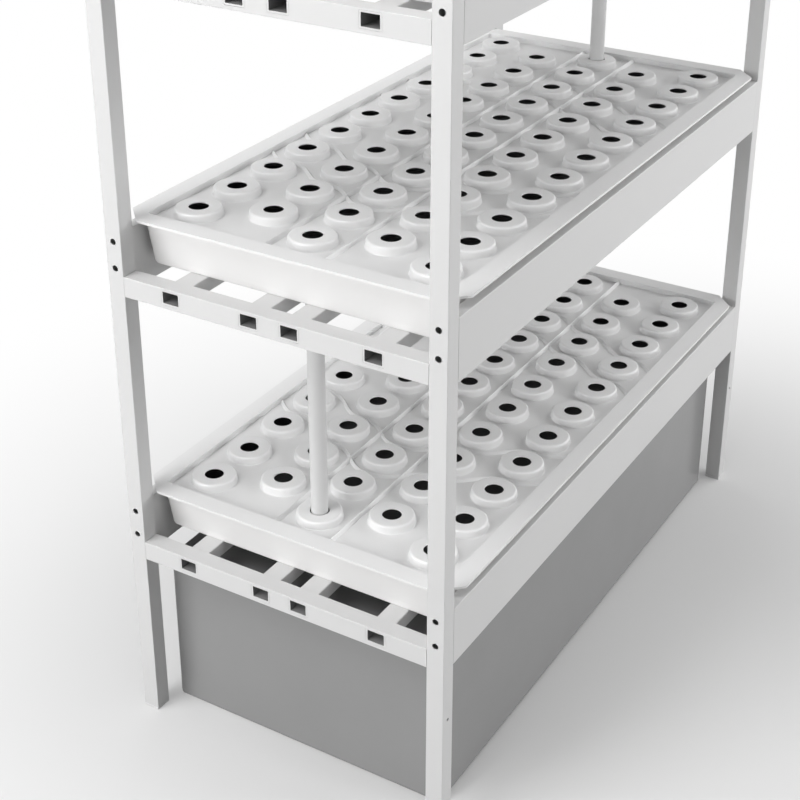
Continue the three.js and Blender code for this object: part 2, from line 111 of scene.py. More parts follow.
def outline(mesh, half_x, half_y, radius, z, cut_off=False):
    """The edges of a level rectangle with round corners, or with corners that are cut off."""
    corners = bmesh.ops.create_grid(mesh, x_segments=1, y_segments=1, size=1)["verts"]
    bmesh.ops.scale(mesh, vec=(half_x, half_y, 1), verts=corners)
    bmesh.ops.translate(mesh, vec=(0, 0, z), verts=corners)
    rounded = bmesh.ops.bevel(
        mesh, geom=corners, offset=radius, offset_type="OFFSET", segments=1 if cut_off else CORNER_STEPS,
        profile=0.5, affect="VERTICES", material=-1,
    )["verts"]
    face = rounded[0].link_faces[0]
    if cut_off:
        slanting = [edge for edge in face.edges if is_slanting(edge)]
        bmesh.ops.subdivide_edges(mesh, edges=slanting, cuts=CORNER_STEPS - 1)
    edges = list(face.edges)
    bmesh.ops.delete(mesh, geom=[face], context="FACES_ONLY")
    return edges


def stack(mesh, rings, inner=False):
    """Walls from each outline to the next. Inner walls take the piece's second material."""
    for first, second in zip(rings, rings[1:]):
        level = abs(first[0].verts[0].co.z - second[0].verts[0].co.z) < MM
        points = list(dict.fromkeys(vertex for edge in second for vertex in edge.verts))
        lift = Vector((0, 0, PARTING if level else 0))
        bmesh.ops.translate(mesh, vec=lift, verts=points)
        for wall in bmesh.ops.bridge_loops(mesh, edges=first + second)["faces"]:
            wall.material_index = int(inner)
        bmesh.ops.translate(mesh, vec=-lift, verts=points)


def close(mesh, ring, inner=False):
    """Fills an outline with one face."""
    for face in bmesh.ops.edgeloop_fill(mesh, edges=ring)["faces"]:
        face.material_index = int(inner)


def quarter(radius, steps=3):
    """The points of a rounded edge, as (distance in, distance up), from its foot to its top."""
    turns = [math.pi / 2 * step / steps for step in range(steps + 1)]
    return [(radius * (1 - math.sin(turn)), radius * (1 - math.cos(turn))) for turn in turns]


print("an edge of 4 mm in three steps:", [(round(a / MM, 2), round(b / MM, 2)) for a, b in quarter(4 * MM)])

# %% [markdown]
# ## From a mesh to a finished piece
#
# A bmesh is only a mesh in the making. This helper turns it into an object, lets modifiers cut its holes,
# thicken its wall and soften its edges, and keeps the result as a plain mesh. Edges that turn sharply are
# then marked sharp, and the Weighted Normal modifier lets the large flat faces rule the shading, so that
# a rounded edge doesn't smear its light over the flat beside it.
#
# The last lines hide the CAD nodes that the piece stands for, and let it ride on their body.

# %% Piece helper
SHARP = math.radians(50)


def settled(thing):
    """The mesh of an object with its modifiers applied."""
    bpy.context.view_layer.update()
    evaluated = thing.evaluated_get(bpy.context.evaluated_depsgraph_get())
    return bpy.data.meshes.new_from_object(evaluated)


def cutters(shapes):
    """One hidden object from several bmesh shapes, for a Boolean modifier."""
    mesh = bpy.data.meshes.new("cutters")
    shapes.to_mesh(mesh)
    shapes.free()
    return bpy.data.objects.new("cutters", mesh)


def make_piece(name, mesh, body, finishes, stands_for, holes=None, wall=0.0, edge=0.0):
    """A finished piece from a bmesh, with holes cut, a sheet's wall or its edges beveled, if asked for."""
    bmesh.ops.recalc_face_normals(mesh, faces=mesh.faces)
    rough = bpy.data.meshes.new(name)
    mesh.to_mesh(rough)
    mesh.free()
    made = bpy.data.objects.new(name, rough)
    bpy.context.collection.objects.link(made)
    for finish in finishes:
        rough.materials.append(finish)
    if wall:
        thicken = made.modifiers.new("wall", "SOLIDIFY")
        thicken.thickness = wall
        thicken.offset = -1
        thicken.use_even_offset = True
        thicken.material_offset = len(finishes) - 1
        thicken.material_offset_rim = 0
    if holes:
        bpy.context.collection.objects.link(holes)
        cut = made.modifiers.new("holes", "BOOLEAN")
        cut.operation = "DIFFERENCE"
        cut.solver = "EXACT"
        cut.object = holes
    if edge:
        soften = made.modifiers.new("edges", "BEVEL")
        soften.width = edge
        soften.segments = 2
        soften.limit_method = "ANGLE"
        soften.angle_limit = SHARP
    final = settled(made)
    made.modifiers.clear()
    made.data = final
    final.name = name
    final.shade_smooth()
    final.set_sharp_from_angle(angle=SHARP)
    even = made.modifiers.new("even shading", "WEIGHTED_NORMAL")
    even.keep_sharp = True
    bpy.data.meshes.remove(rough)
    if holes:
        tools = holes.data
        bpy.data.objects.remove(holes)
        bpy.data.meshes.remove(tools)
    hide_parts(*stands_for)
    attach(made, body)
    return made


# %% [markdown]
# ## Writing materials
#
# Shader maths is easier to read as a sum than as a chain of nodes. So a small class wraps a socket, and
# each plus, times or greater-than sign beside a wrapped socket adds its Math node. A second class holds one
# material and has one way to add any other node: its type, its settings, and what goes into its sockets.

# %% Material helpers
class Value:
    """A node's output that takes part in plain arithmetic."""

    def __init__(self, tree, socket):
        self.tree = tree
        self.socket = socket

    def combine(self, operation, first, second):
        node = self.tree.nodes.new("ShaderNodeMath")
        node.operation = operation
        for place, value in zip(node.inputs, (first, second)):
            if isinstance(value, Value):
                self.tree.links.new(value.socket, place)
            else:
                place.default_value = value
        return Value(self.tree, node.outputs[0])

    def __add__(self, other):
        return self.combine("ADD", self, other)

    def __radd__(self, other):
        return self.combine("ADD", other, self)

    def __mul__(self, other):
        return self.combine("MULTIPLY", self, other)

    def __rmul__(self, other):
        return self.combine("MULTIPLY", other, self)

    def __gt__(self, other):
        return self.combine("GREATER_THAN", self, other)


class Finish:
    """A material in the making, on Blender's Principled surface."""

    def __init__(self, name):
        self.material = bpy.data.materials.new(name)
        self.material.use_nodes = True
        self.tree = self.material.node_tree
        self.surface = self.tree.nodes["Principled BSDF"]
        self.place = self.add("ShaderNodeTexCoord", output="Object")

    def feed(self, socket, value):
        if isinstance(value, Value):
            self.tree.links.new(value.socket, socket)
        else:
            socket.default_value = value

    def add(self, kind, settings=None, inputs=None, output=0):
        """A node of any type, and one of its outputs as a value."""
        node = self.tree.nodes.new(kind)
        for name, value in (settings or {}).items():
            setattr(node, name, value)
        for name, value in (inputs or {}).items():
            self.feed(node.inputs[name], value)
        return Value(self.tree, node.outputs[output])

    def noise(self, size, detail=2.0):
        """Noise with patches of about this size in metres, from 0 to 1."""
        inputs = {"Vector": self.place, "Scale": 1 / size, "Detail": detail}
        return self.add("ShaderNodeTexNoise", inputs=inputs)

    def mix(self, factor, first, second):
        """One colour that turns into another."""
        settings = {"data_type": "RGBA"}
        return self.add("ShaderNodeMix", settings, {0: factor, 6: first, 7: second}, output=2)

    def bump(self, height, depth, strength):
        """A normal that is tilted by a height from 0 to 1, over a depth in metres."""
        inputs = {"Height": height, "Distance": depth, "Strength": strength}
        return self.add("ShaderNodeBump", inputs=inputs)

    def set(self, sockets):
        """Sets or links sockets of the surface by their names in the editor."""
        for name, value in sockets.items():
            self.feed(self.surface.inputs[name], value)


def grey(level, warmth=0.0):
    """A neutral colour, or with some warmth one that leans a little to yellow."""
    return (level, level * (1 - warmth / 2), level * (1 - warmth), 1)


print("a warm white:", grey(0.9, 0.02))

# %% [markdown]
# ## Powder-coated steel
#
# The frame is steel tube with a baked powder coat in off-white. Such a coat is never glass-smooth: it has
# an orange-peel skin with dimples of a millimetre or two, and the gloss varies a little with its
# thickness. A flat colour would look like paper. So a broad noise lets colour and gloss drift, and a fine
# one makes dimples so shallow that they only show in the highlights. The powder doesn't reach far into a
# tube, so the insides are bare steel, and their dark grey is painted shade: it darkens the tubes' cavities,
# which is why the open ends of the bearers look dark.

# %% Powder coat, and bare steel with painted shade
def powder_coat():
    coat = Finish("powder coat")
    drift = coat.noise(180 * MM)
    fine = coat.noise(1.6 * MM, detail=1)
    colour = coat.mix(drift, grey(0.64), grey(0.67, 0.004))
    dimples = coat.bump(fine, depth=0.05 * MM, strength=0.5)
    coat.set({
        "Base Color": colour,
        "Roughness": 0.42 + 0.12 * drift,
        "Specular IOR Level": 0.45,
        "Normal": dimples,
    })
    return coat.material


# Bare steel for the tubes' insides, darker than bare steel is: painted shade in their cavities.
def painted_shade_steel():
    steel = Finish("bare steel and painted shade")
    drift = steel.noise(30 * MM)
    steel.set({
        "Base Color": steel.mix(drift, grey(0.2), grey(0.26)),
        "Roughness": 0.6 + 0.15 * drift,
        "Specular IOR Level": 0.3,
    })
    return steel.material


coat = powder_coat()
tube_inside_shade = painted_shade_steel()
steel_tube = [coat, tube_inside_shade]
print("made", coat.name, "and", tube_inside_shade.name)

# %% [markdown]
# ## Moulded white plastic
#
# The trays, covers and pipes are formed or moulded in white plastic with a satin skin. The trays are the
# whitest, with a touch of warmth, and the pipes are about as light as the frame. The mould leaves a very
# fine grain. Light goes slightly into white plastic, but at this scale a plain surface looks the same and
# renders faster.

# %% White plastic
def white_plastic(name, level, warmth):
    plastic = Finish(name)
    drift = plastic.noise(90 * MM)
    grain = plastic.noise(0.9 * MM, detail=1)
    colour = plastic.mix(drift, grey(level - 0.02, warmth), grey(level + 0.01, warmth))
    skin = plastic.bump(grain, depth=0.03 * MM, strength=0.35)
    plastic.set({
        "Base Color": colour,
        "Roughness": 0.36 + 0.1 * drift,
        "Normal": skin,
    })
    return plastic.material


tray_white = white_plastic("tray plastic", 0.83, 0.012)
cover_white = white_plastic("cover plastic", 0.79, 0.0)
pipe_white = white_plastic("pipe plastic", 0.63, 0.0)
print("made", tray_white.name, "and", cover_white.name)

# %% [markdown]
# ## The black layer and its painted shade
#
# Light in the water would feed algae, so growers' sheet is made in two layers, white outside and black
# inside. Its near-black here is also painted shade, for the dark inside of the trays, so that the planting
# holes look black. The inside of a tray and the underside of a cover are given this second finish.

# %% Black layer and painted shade
def layer_with_painted_shade():
    layer = Finish("black layer and painted shade")
    drift = layer.noise(40 * MM)
    grain = layer.noise(1.2 * MM, detail=1)
    skin = layer.bump(grain, depth=0.04 * MM, strength=0.4)
    # Near-black: the sheet's black layer, and painted shade for the dark inside of the trays.
    colour = layer.mix(drift, grey(0.1), grey(0.12))
    layer.set({
        "Base Color": colour,
        "Roughness": 0.5 + 0.15 * drift,
        "Normal": skin,
    })
    return layer.material


black_layer_and_shade = layer_with_painted_shade()
print("made", black_layer_and_shade.name)

# %% [markdown]
# ## Grey tank plastic
#
# The tank is moulded in an even grey. Its skin has a fine pebble, and it is smooth enough to mirror the
# posts beside it faintly. The lid is darker and matt, and part of its darkness is painted shade, for the
# deep shade under the lowest tray. The colour is a little uneven, because such tanks are made from powder
# that melts against the mould.

# %% Tank plastic
def tank_plastic(name, level, roughness):
    plastic = Finish(name)
    drift = plastic.noise(120 * MM)
    specks = plastic.noise(1.5 * MM)
    pebble = plastic.noise(2.2 * MM, detail=3)
    dark = grey(level * 0.94)
    light = grey(level * 1.05)
    colour = plastic.mix(0.75 * drift + 0.25 * specks, dark, light)
    skin = plastic.bump(pebble, depth=0.04 * MM, strength=0.2)
    plastic.set({
        "Base Color": colour,
        "Roughness": roughness + 0.06 * drift,
        "Specular IOR Level": 0.5,
        "Normal": skin,
    })
    return plastic.material


tank_grey = tank_plastic("tank plastic", 0.285, roughness=0.17)
# The lid's darker grey is partly painted shade, for the shade under the lowest tray.
lid_grey_and_shade = tank_plastic("lid plastic and painted shade", 0.22, roughness=0.62)
print("made", tank_grey.name, "and", lid_grey_and_shade.name)

# %% [markdown]
# ## Zinc-plated fixings and the pump's dark case
#
# Only two more finishes are needed. The bolts are zinc-plated steel, bright but slightly uneven. The pump
# is moulded in near-black plastic with a coarse spark-eroded grain.

# %% Fixings and pump
def zinc():
    plating = Finish("zinc plating")
    clouds = plating.noise(4 * MM)
    plating.set({
        "Base Color": plating.mix(clouds, grey(0.42), grey(0.56)),
        "Metallic": 1.0,
        "Roughness": 0.28 + 0.2 * clouds,
    })
    return plating.material


def pump_case():
    case = Finish("pump case")
    grain = case.noise(0.8 * MM, detail=3)
    skin = case.bump(grain, depth=0.05 * MM, strength=0.6)
    case.set({
        "Base Color": case.mix(grain, grey(0.02), grey(0.035)),
        "Roughness": 0.5 + 0.15 * grain,
        "Normal": skin,
    })
    return case.material


zinc_plating = zinc()
pump_black = pump_case()
print("made", zinc_plating.name, "and", pump_black.name)

# %% [markdown]
# ## Square and rectangular tube
#
# Every member of the frame is welded steel tube. Tube is rolled from strip, so its long edges are round,
# here with only a small radius, as the picture shows, and its ends are sawn. The section is drawn level, as
# an outer and an inner outline, and both are repeated at the far end. Bridging the four in a ring gives the
# wall and both sawn ends, and the inner wall takes the bare steel with its painted shade. A tube that runs
# along X or Y is then laid over.

# %% Tube helper
BORE_RADIUS = 1 * MM


def laid(mesh, direction, centre):
    """Turns a shape that was made along Z to run along X, Y or Z, and moves it to its centre."""
    turns = {
        "X": Matrix(((0, 0, 1), (1, 0, 0), (0, 1, 0))),
        "Y": Matrix(((1, 0, 0), (0, 0, 1), (0, 1, 0))),
        "Z": Matrix.Identity(3),
    }
    bmesh.ops.transform(mesh, matrix=turns[direction].to_4x4(), verts=mesh.verts)
    bmesh.ops.translate(mesh, vec=centre, verts=mesh.verts)


def tube(direction, low, high, wall, radius):
    """An open tube that fills the box between two corners, along one direction."""
    size = high - low
    along = {"X": (size.y, size.z, size.x), "Y": (size.x, size.z, size.y), "Z": (size.x, size.y, size.z)}
    width, height, length = along[direction]
    outer = (width / 2, height / 2, radius)
    inner = (width / 2 - wall, height / 2 - wall, max(radius - wall, BORE_RADIUS))
    mesh = bmesh.new()
    rings = [
        outline(mesh, *outer, -length / 2),
        outline(mesh, *outer, length / 2),
        outline(mesh, *inner, length / 2),
        outline(mesh, *inner, -length / 2),
    ]
    stack(mesh, rings[:3])
    stack(mesh, rings[2:], inner=True)
    stack(mesh, [rings[3], rings[0]])
    laid(mesh, direction, (low + high) / 2)
    return mesh


post_low, post_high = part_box("post_left_front")
print("a post measures", [round(side, 4) for side in post_high - post_low])

# %% [markdown]
# ## Holes
#
# A hole could be drawn into a face from the start, but the windows of the end rails go through rounded
# tubes, so a Boolean modifier is simpler. It wants clean closed tools. A round tool is a plain cylinder, and
# a tool for a window is a short stack of two outlines.

# %% Tools for holes
DRILL_SIDES = 28
OVERCUT = 2 * MM


def round_tool(mesh, diameter, start, end):
    """Adds a closed round bar between two points, for a drilled hole."""
    axis = Vector(end) - Vector(start)
    radius = diameter / 2
    made = bmesh.ops.create_cone(
        mesh, cap_ends=True, segments=DRILL_SIDES, radius1=radius, radius2=radius, depth=axis.length,
    )["verts"]
    turn = axis.to_track_quat("Z", "Y").to_matrix().to_4x4()
    bmesh.ops.transform(mesh, matrix=turn, verts=made)
    bmesh.ops.translate(mesh, vec=(Vector(start) + Vector(end)) / 2, verts=made)


def window_tool(mesh, low, high, radius):
    """Adds a closed bar along X with rounded edges, for a window in an end rail."""
    bar = bmesh.new()
    size = high - low
    near = outline(bar, size.y / 2, size.z / 2, radius, -size.x / 2)
    far = outline(bar, size.y / 2, size.z / 2, radius, size.x / 2)
    stack(bar, [near, far])
    close(bar, near)
    close(bar, far)
    laid(bar, "X", (low + high) / 2)
    bmesh.ops.recalc_face_normals(bar, faces=bar.faces)
    made = bpy.data.meshes.new("window")
    bar.to_mesh(made)
    bar.free()
    mesh.from_mesh(made)
    bpy.data.meshes.remove(made)


print("tools ready")

# %% [markdown]
# ## Posts and feet
#
# A post is 30 mm tube with a welded top, so it is a stack like the tube, but closed above. At each joint
# two access holes let a spanner reach the bolts inside, and a small hole near the foot lets water out.
# A moulded cap closes the lower end and keeps the steel off a wet floor.

# %% Posts and feet
POST_WALL = 2 * MM
POST_RADIUS = 1.2 * MM
ACCESS_HOLE = 10.5 * MM
FOOT_HOLE = 5.5 * MM
FOOT_HOLE_HEIGHT = 220 * MM
BOLT_HEIGHTS = (47 * MM, 91.5 * MM)
CAP_FIT = 0.3 * MM
CAP_EDGE = 0.6 * MM
PLUG_LEAD = 1 * MM
PLUG_TIP_RADIUS = 0.5 * MM


def post(end, side):
    low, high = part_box(f"post_{end}_{side}")
    middle = (low + high) / 2
    half = (high.x - low.x) / 2
    mesh = bmesh.new()
    inside = half - POST_WALL
    rings = [
        outline(mesh, inside, inside, BORE_RADIUS, high.z - POST_WALL),
        outline(mesh, inside, inside, BORE_RADIUS, low.z),
        outline(mesh, half, half, POST_RADIUS, low.z),
        outline(mesh, half, half, POST_RADIUS, high.z),
    ]
    stack(mesh, rings)
    close(mesh, rings[0])
    close(mesh, rings[-1])
    bmesh.ops.translate(mesh, vec=(middle.x, middle.y, 0), verts=mesh.verts)

    drills = bmesh.new()
    for tier in TIERS:
        rail_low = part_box(f"side_rail_{tier}_{side}")[0].z
        for height in BOLT_HEIGHTS:
            inner = Vector((middle.x, middle.y, rail_low + height))
            round_tool(drills, ACCESS_HOLE, inner, inner + Vector((ENDS[end] * (half + MM), 0, 0)))
    foot = Vector((middle.x, middle.y, FOOT_HOLE_HEIGHT))
    round_tool(drills, FOOT_HOLE, foot, foot + Vector((0, SIDES[side] * (half + MM), 0)))
    return make_piece(
        f"square_post_{end}_{side}", mesh, "frame", [coat], [f"post_{end}_{side}"],
        holes=cutters(drills), edge=0.25 * MM,
    )


def foot_cap(end, side):
    low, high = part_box(f"foot_cap_{end}_{side}")
    sole_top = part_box(f"post_{end}_{side}")[0].z - CAP_FIT
    half = (high.x - low.x) / 2
    plug = half - POST_WALL - CAP_FIT
    mesh = bmesh.new()
    rings = [
        outline(mesh, half - CAP_EDGE, half - CAP_EDGE, POST_RADIUS, low.z),
        outline(mesh, half, half, POST_RADIUS, low.z + CAP_EDGE),
        outline(mesh, half, half, POST_RADIUS, sole_top),
        outline(mesh, plug, plug, BORE_RADIUS, sole_top),
        outline(mesh, plug, plug, BORE_RADIUS, high.z - PLUG_LEAD),
        outline(mesh, plug - PLUG_LEAD, plug - PLUG_LEAD, PLUG_TIP_RADIUS, high.z),
    ]
    stack(mesh, rings)
    close(mesh, rings[0])
    close(mesh, rings[-1])
    bmesh.ops.translate(mesh, vec=((low.x + high.x) / 2, (low.y + high.y) / 2, 0), verts=mesh.verts)
    return make_piece(
        f"moulded_foot_{end}_{side}", mesh, "frame", [cover_white], [f"foot_cap_{end}_{side}"],
    )


for end in ENDS:
    for side in SIDES:
        made = post(end, side)
        foot_cap(end, side)
        print(made.name, len(made.data.polygons), "faces")

# %% [markdown]
# ## Rails
#
# The deep side rails lie between the posts, flush with their outer faces. The end rails are as deep as the
# posts and carry the tray's weight: four windows in each let the bearers through. A window is drawn
# 0.3 mm larger all round than the bearer, and the weld would fill that. The rails' ends stay sharp, because
# they are welded and ground flush where they meet a post, and no seam shows there.

# %% Side and end rails
RAIL_WALL = 1.5 * MM
RAIL_RADIUS = 0.9 * MM
BEARER_RADIUS = 2 * MM
BEARERS = (1, 2, 3, 4)
WINDOW_FIT = 0.3 * MM


def side_rail(tier, side):
    low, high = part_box(f"side_rail_{tier}_{side}")
    mesh = tube("X", low, high, RAIL_WALL, RAIL_RADIUS)
    return make_piece(
        f"deep_rail_{tier}_{side}", mesh, "frame", steel_tube, [f"side_rail_{tier}_{side}"],
    )


def end_rail(tier, end):
    low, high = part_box(f"end_rail_{tier}_{end}")
    mesh = tube("Y", low, high, RAIL_WALL, RAIL_RADIUS)
    windows = bmesh.new()
    for bearer in BEARERS:
        bearer_low, bearer_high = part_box(f"bearer_{tier}_{bearer}")
        gap = Vector((0, WINDOW_FIT, WINDOW_FIT))
        start = Vector((low.x - OVERCUT, bearer_low.y, bearer_low.z)) - gap
        stop = Vector((high.x + OVERCUT, bearer_high.y, bearer_high.z)) + gap
        window_tool(windows, start, stop, BEARER_RADIUS + WINDOW_FIT)
    return make_piece(
        f"window_rail_{tier}_{end}", mesh, "frame", steel_tube, [f"end_rail_{tier}_{end}"],
        holes=cutters(windows),
    )


for tier in TIERS:
    for side in SIDES:
        side_rail(tier, side)
    for end in ENDS:
        made = end_rail(tier, end)
    print("rails of tier", tier, "made, the last with", len(made.data.polygons), "faces")

# %% [markdown]
# ## Bearers
#
# The bearers are thick-walled tube, open at both ends, flush with the end rails. Their sawn ends face the
# viewer in the picture and show as thin bright frames, so even their sawn edges are eased a little.

# %% Bearers
BEARER_WALL = 3 * MM

for tier in TIERS:
    for bearer in BEARERS:
        low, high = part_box(f"bearer_{tier}_{bearer}")
        mesh = tube("X", low, high, BEARER_WALL, BEARER_RADIUS)
        make_piece(
            f"tray_bearer_{tier}_{bearer}", mesh, "frame", steel_tube, [f"bearer_{tier}_{bearer}"],
            edge=0.3 * MM,
        )
print(len(TIERS) * len(BEARERS), "bearers made")

# %% [markdown]
# ## The plugs and bolts in the rail ends
#
# These CAD nodes are right as they are: a block, and two bolts with six-sided heads, seen only through the
# access holes. They keep their meshes and get the zinc finish.

# %% Rail fixings
fixings = [thing for name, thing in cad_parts.items() if name.startswith("rail_fixing")]
for fixing in fixings:
    fixing.data.materials.clear()
    fixing.data.materials.append(zinc_plating)
print(len(fixings), "fixings plated")

# %% [markdown]
# ## Trays
#
# A tray is a deep moulded trough. Its ends lean outward, its corners grow rounder towards the top, and an
# upright shoulder under the flange makes room for the cover's recess. Its long lower edges are well rounded
# and its end ones nearly sharp. The flange's corners are cut off, to pass between the posts. That is a stack
# of outlines up the outside, across the flange, and down the inside, which takes the black layer and its
# painted shade.
#
# In the picture the rim is thin and lies a little below the tops of the bosses. So the flange is thinner and
# lower than its plain stand-in, and the cover rests on it with a fine seam.

# %% Trays
TRAY_WALL = 3 * MM
TRAY_FLOOR = (550 * MM, 268 * MM, 5 * MM)
TRAY_TOP = (562 * MM, 271 * MM, 10 * MM)
SHOULDER = (563.6 * MM, 273.6 * MM, 10 * MM)
SHOULDER_HEIGHT = 12 * MM
FLANGE = (588 * MM, 299.5 * MM, 36 * MM)
RIM_SHEET = 2.2 * MM
RIM_DROP = 3.5 * MM
SHOULDER_SLOPE = 3 * MM
END_EDGE = 2 * MM
LONG_EDGE = 12 * MM
LOWER_STEPS = 4
LEAST_RADIUS = 0.5 * MM
PIPE_BORE = 28.6 * MM
INLET_BORE = 20.6 * MM
FLOOR_DRILL = (5 * MM, 13 * MM)


def inset(shape, distance):
    """An outline's half sizes and radius, moved in by a distance, and never quite sharp at its corners."""
    half_x, half_y, radius = shape
    return half_x - distance, half_y - distance, max(radius - distance, LEAST_RADIUS)


def lower_edge(mesh, shape, floor, edges):
    """The outlines of a lower edge, from the floor up, rounded by one radius at the ends and one along."""
    half_x, half_y, radius = shape
    end_edge, long_edge = (quarter(edge, LOWER_STEPS) for edge in edges)
    rings = []
    for (inward, _), (along, up) in zip(end_edge, long_edge):
        turn = max(radius - along, LEAST_RADIUS)
        rings.append(outline(mesh, half_x - inward, half_y - along, turn, floor + up))
    return rings


def rim_level(tier):
    """The height of the top of a tray's flange."""
    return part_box(f"planting_cover_{tier}")[1].z - RIM_DROP - RIM_SHEET


def tray(tier):
    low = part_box(f"tray_{tier}")[0]
    rim = rim_level(tier)
    shoulder = rim - SHOULDER_HEIGHT
    mesh = bmesh.new()
    outside = lower_edge(mesh, TRAY_FLOOR, low.z, (END_EDGE, LONG_EDGE))
    outside += [
        outline(mesh, *TRAY_TOP, shoulder - SHOULDER_SLOPE),
        outline(mesh, *SHOULDER, shoulder),
        outline(mesh, *SHOULDER, rim - RIM_SHEET),
        outline(mesh, *FLANGE, rim - RIM_SHEET, cut_off=True),
        outline(mesh, *FLANGE, rim, cut_off=True),
        outline(mesh, *inset(SHOULDER, TRAY_WALL), rim),
    ]
    stack(mesh, outside)
    close(mesh, outside[0])
    inside = [
        outside[-1],
        outline(mesh, *inset(SHOULDER, TRAY_WALL), shoulder),
        outline(mesh, *inset(TRAY_TOP, TRAY_WALL), shoulder - SHOULDER_SLOPE),
    ]
    inner_edges = (END_EDGE, LONG_EDGE - TRAY_WALL)
    inside += reversed(lower_edge(mesh, inset(TRAY_FLOOR, TRAY_WALL), low.z + TRAY_WALL, inner_edges))
    stack(mesh, inside, inner=True)
    close(mesh, inside[-1], inner=True)

    bores = {f"drop_pipe_{tier}": PIPE_BORE}
    if tier == TIERS[-1]:
        bores["feed_inlet"] = INLET_BORE
    below, length = FLOOR_DRILL
    drills = bmesh.new()
    for fitting, bore in bores.items():
        fitting_low, fitting_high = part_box(fitting)
        centre = (fitting_low + fitting_high) / 2
        start = Vector((centre.x, centre.y, low.z - below))
        round_tool(drills, bore, start, start + Vector((0, 0, length)))
    return make_piece(
        f"moulded_tray_{tier}", mesh, f"{LEVELS[tier]}_tray", [tray_white, black_layer_and_shade],
        [f"tray_{tier}"], holes=cutters(drills), edge=0.4 * MM,
    )


for tier in TIERS:
    made = tray(tier)
    print(made.name, len(made.data.polygons), "faces")

# %% [markdown]
# ## Planting covers: the boss
#
# A cover is one sheet of plastic, so a boss is hollow below, and its hole has a thin edge. The boss is
# round, so half of its section is drawn as a line and spun. The line starts in a hollow fillet on the
# plate, climbs the nearly upright side, rounds the top edge, and turns down into the hole.

# %% The boss
HOLE_RADIUS = 16 * MM
HOLE_EDGE = 0.7 * MM
HOLE_DEPTH = 2 * MM
BOSS_TOP = 37.6 * MM
BOSS_BASE = 38.4 * MM
BOSS_EDGE = 3.6 * MM
BOSS_FILLET = 2.4 * MM
PLATE_DEPTH = 14 * MM
COVER_SHEET = RIM_SHEET
BOSS_SIDES = 32


def boss_mesh():
    section = [(BOSS_BASE + outward, up - PLATE_DEPTH) for outward, up in quarter(BOSS_FILLET)]
    section += [(BOSS_TOP - inward, -down) for inward, down in reversed(quarter(BOSS_EDGE))]
    section += [
        (HOLE_RADIUS + HOLE_EDGE, 0),
        (HOLE_RADIUS, -HOLE_EDGE),
        (HOLE_RADIUS, -HOLE_DEPTH),
    ]
    mesh = bmesh.new()
    points = [mesh.verts.new((radius, 0, z)) for radius, z in section]
    line = [mesh.edges.new(pair) for pair in zip(points, points[1:])]
    bmesh.ops.spin(
        mesh, geom=points + line, cent=(0, 0, 0), axis=(0, 0, 1), angle=2 * math.pi, steps=BOSS_SIDES,
        use_merge=True,
    )
    made = bpy.data.meshes.new("boss")
    mesh.to_mesh(made)
    mesh.free()
    return made


boss = boss_mesh()
print("a boss has", len(boss.polygons), "faces")

# %% [markdown]
# ## Planting covers: the sheet
#
# The holes stand in five rows, 106 mm apart. Every other row has one hole fewer, so that its holes stand
# half a pitch to the side. The lip and the recess are a stack of outlines, and the lip's corners are cut
# off like the flange's below it. What is left is the plate between the recess's wall and the bosses: a flat
# region with 53 round islands, which the triangle fill closes in one step. The Solidify modifier then gives
# the sheet its thickness and puts the black layer, with its painted shade, underneath.
# region with 53 round islands, which the triangle fill closes in one step. The Solidify modifier then gives
# the sheet its thickness and puts the black layer underneath.

# %% The sheet
HOLE_PITCH = 100 * MM
ROW_PITCH = 106 * MM
FULL_ROW = 11
LIP = (588.4 * MM, 299.8 * MM, 36 * MM)
RECESS = (556 * MM, 267.5 * MM, 5 * MM)
LIP_EDGE = 1 * MM
RECESS_EDGE = 2 * MM


def hole_places():
    places = []
    for row in range(-2, 3):
        count = FULL_ROW - row % 2
        first = -(count - 1) / 2 * HOLE_PITCH
        places += [(first + index * HOLE_PITCH, row * ROW_PITCH) for index in range(count)]
    return places


def cover(tier):
    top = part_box(f"planting_cover_{tier}")[1].z
    plate = top - PLATE_DEPTH
    lip = top - RIM_DROP
    mesh = bmesh.new()
    rings = [outline(mesh, *LIP, lip, cut_off=True)]
    for outward, down in quarter(LIP_EDGE):
        rings.append(outline(mesh, *inset(RECESS, -outward), lip - down))
    for inward, up in reversed(quarter(RECESS_EDGE)):
        rings.append(outline(mesh, *inset(RECESS, inward), plate + up))
    stack(mesh, rings)

    for x, y in places:
        copy = boss.copy()
        copy.transform(Matrix.Translation((x, y, top)))
        mesh.from_mesh(copy)
        bpy.data.meshes.remove(copy)

    rims = []
    for edge in mesh.edges:
        level = all(abs(vertex.co.z - plate) < HAIR for vertex in edge.verts)
        if edge.is_boundary and level:
            rims.append(edge)
    bmesh.ops.triangle_fill(mesh, use_beauty=True, edges=rims)
    return make_piece(
        f"moulded_cover_{tier}", mesh, f"{LEVELS[tier]}_cover", [cover_white, black_layer_and_shade],
        [f"planting_cover_{tier}"], wall=COVER_SHEET,
    )


places = hole_places()
for tier in TIERS:
    made = cover(tier)
    print(made.name, len(places), "planting holes,", len(made.data.polygons), "faces")

# %% [markdown]
# ## Planting covers: the ribs
#
# Ribs stiffen the plate. Two run straight from end to end between the rows, and two at each end snake
# across it, round the bosses. Each is a long strip of faces from the grid operator. Its points are moved
# onto the rib's path, and its middle is raised, so that both feet run out softly into the plate, as a
# mould needs them to.

# %% The ribs
RIB_STEPS = 6
LOOK_AHEAD = 0.001
RIB_ROUNDNESS = 1.3
RIB_SINK = 0.1 * MM
RIB_SHEET = 1.2 * MM
LONG_RIB = (10 * MM, 6 * MM)
LONG_STEPS = 24
CROSS_RIB = (9 * MM, 4.5 * MM)
CROSS_STEPS = 80
CROSS_PLACES = (250 * MM, 350 * MM)


